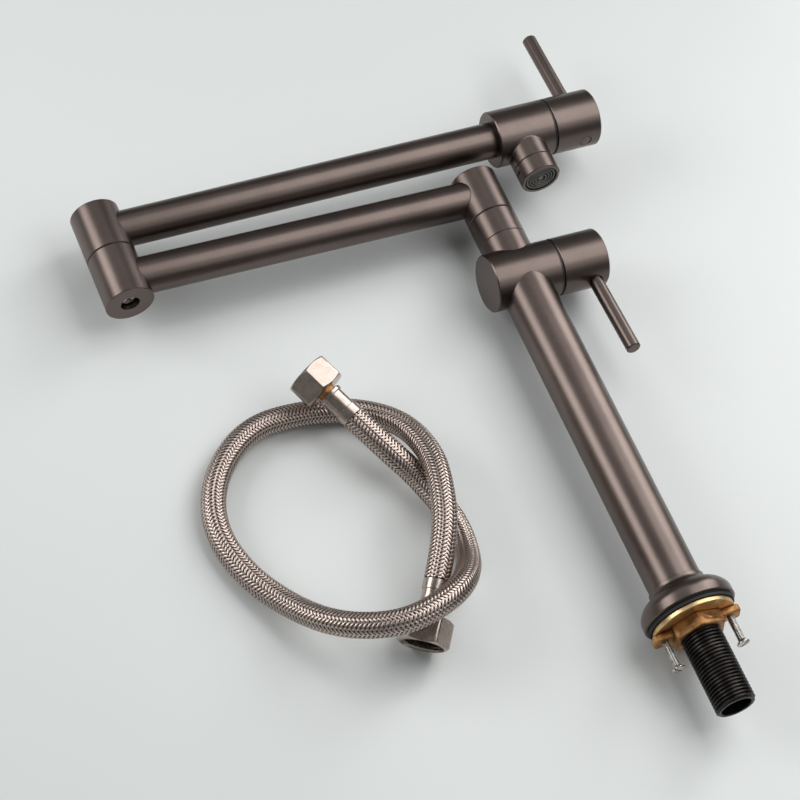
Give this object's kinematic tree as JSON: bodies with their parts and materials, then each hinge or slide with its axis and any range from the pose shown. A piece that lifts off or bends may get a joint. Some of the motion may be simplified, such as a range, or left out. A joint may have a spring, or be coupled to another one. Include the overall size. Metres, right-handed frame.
{
  "type": "deck mounted pot filler tap",
  "caption": "Double-jointed pot filler tap on a round column with a valve at the column and at the spout, lying beside its braided supply hose with a hex nut at each end.",
  "frame": {"origin": "centre of the tap's box, without the hose, on the table it lies on", "axes": "+Y up the column from the shank to the spout arm, -X along the folded arms, +Z up from the table; in use the tap stands with +Y up"},
  "size_m": [0.2946, 0.4108, 0.0484],
  "materials": {
    "gunmetal": "satin gunmetal coating over brass and steel",
    "black_thread": "satin black coating over brass",
    "raw_brass": "bare cast and turned brass",
    "black_rubber": "matte moulded rubber",
    "black_plastic": "matte nylon",
    "grey_plastic": "matte moulded plastic",
    "bright_steel": "bright zinc plate",
    "champagne_nickel": "satin nickel plate over brass",
    "steel_braid": "stainless steel braid over a rubber tube"
  },
  "bodies": {
    "column": {"base_flange": "gunmetal", "threaded_shank": "black_thread", "flange_o_ring": "black_rubber", "deck_gasket": "black_rubber", "deck_washer": "raw_brass", "lock_nut": "raw_brass", "clamp_screws": "bright_steel", "riser_tube": "gunmetal", "lower_valve_body": "gunmetal", "neck_collar": "gunmetal", "inner_swivel_washer": "black_plastic", "lower_cartridge": "grey_plastic", "lower_gland_ring": "black_plastic"},
    "inner_arm": {"inner_swivel_spigot": "raw_brass", "inner_swivel_rings": "black_rubber", "inner_elbow": "gunmetal", "inner_arm_tube": "gunmetal", "outer_lower_elbow": "gunmetal", "outer_swivel_washer": "black_plastic"},
    "outer_arm": {"outer_upper_elbow": "gunmetal", "outer_swivel_rings": "black_rubber", "swivel_screw": "bright_steel", "outer_arm_tube": "gunmetal", "spout_body": "gunmetal", "aerator_housing": "gunmetal", "aerator_insert": "grey_plastic", "aerator_seal": "black_rubber", "upper_cartridge": "grey_plastic", "upper_gland_ring": "black_plastic"},
    "lower_handle": {"lower_handle_hub": "gunmetal", "lower_spindle": "raw_brass", "lower_lever": "gunmetal", "lower_hub_plug": "gunmetal"},
    "upper_handle": {"upper_handle_hub": "gunmetal", "upper_spindle": "raw_brass", "upper_lever": "gunmetal", "upper_hub_plug": "gunmetal"},
    "hose": {"supply_hose": "steel_braid", "first_ferrule": "champagne_nickel", "first_nipple": "raw_brass", "first_seal": "black_rubber", "second_ferrule": "champagne_nickel", "second_nipple": "raw_brass", "second_seal": "black_rubber"},
    "first_nut": {"first_hose_nut": "champagne_nickel"},
    "second_nut": {"second_hose_nut": "champagne_nickel"}
  },
  "joints": [
    {"name": "inner_swivel", "type": "hinge", "parent": "column", "child": "inner_arm", "pos_m": [0.06855, 0.11271, 0.0242], "axis": [0, 1, 0], "continuous": true},
    {"name": "outer_swivel", "type": "hinge", "parent": "inner_arm", "child": "outer_arm", "pos_m": [-0.13435, 0.12801, 0.02586], "axis": [0, -1, 0], "continuous": true},
    {"name": "lower_handle_turn", "type": "hinge", "parent": "column", "child": "lower_handle", "pos_m": [0.06855, 0.05841, 0.0242], "axis": [-1, 0, 0], "range_deg": [0, 90]},
    {"name": "upper_handle_turn", "type": "hinge", "parent": "outer_arm", "child": "upper_handle", "pos_m": [0.10352, 0.14331, 0.02952], "axis": [0.9999, 0, 0.0154], "range_deg": [0, 90]},
    {"name": "hose_lift", "type": "slide", "parent": "column", "child": "hose", "axis": [0, 0, 1], "range_m": [0, 0.12]},
    {"name": "first_nut_spin", "type": "hinge", "parent": "hose", "child": "first_nut", "pos_m": [-0.06107, 0.02488, 0.02795], "axis": [-0.4699, 0.8655, 0.1736], "continuous": true},
    {"name": "second_nut_spin", "type": "hinge", "parent": "hose", "child": "second_nut", "pos_m": [-0.05709, -0.11723, 0.01398], "axis": [-0.5165, -0.8107, -0.2756], "continuous": true}
  ]
}
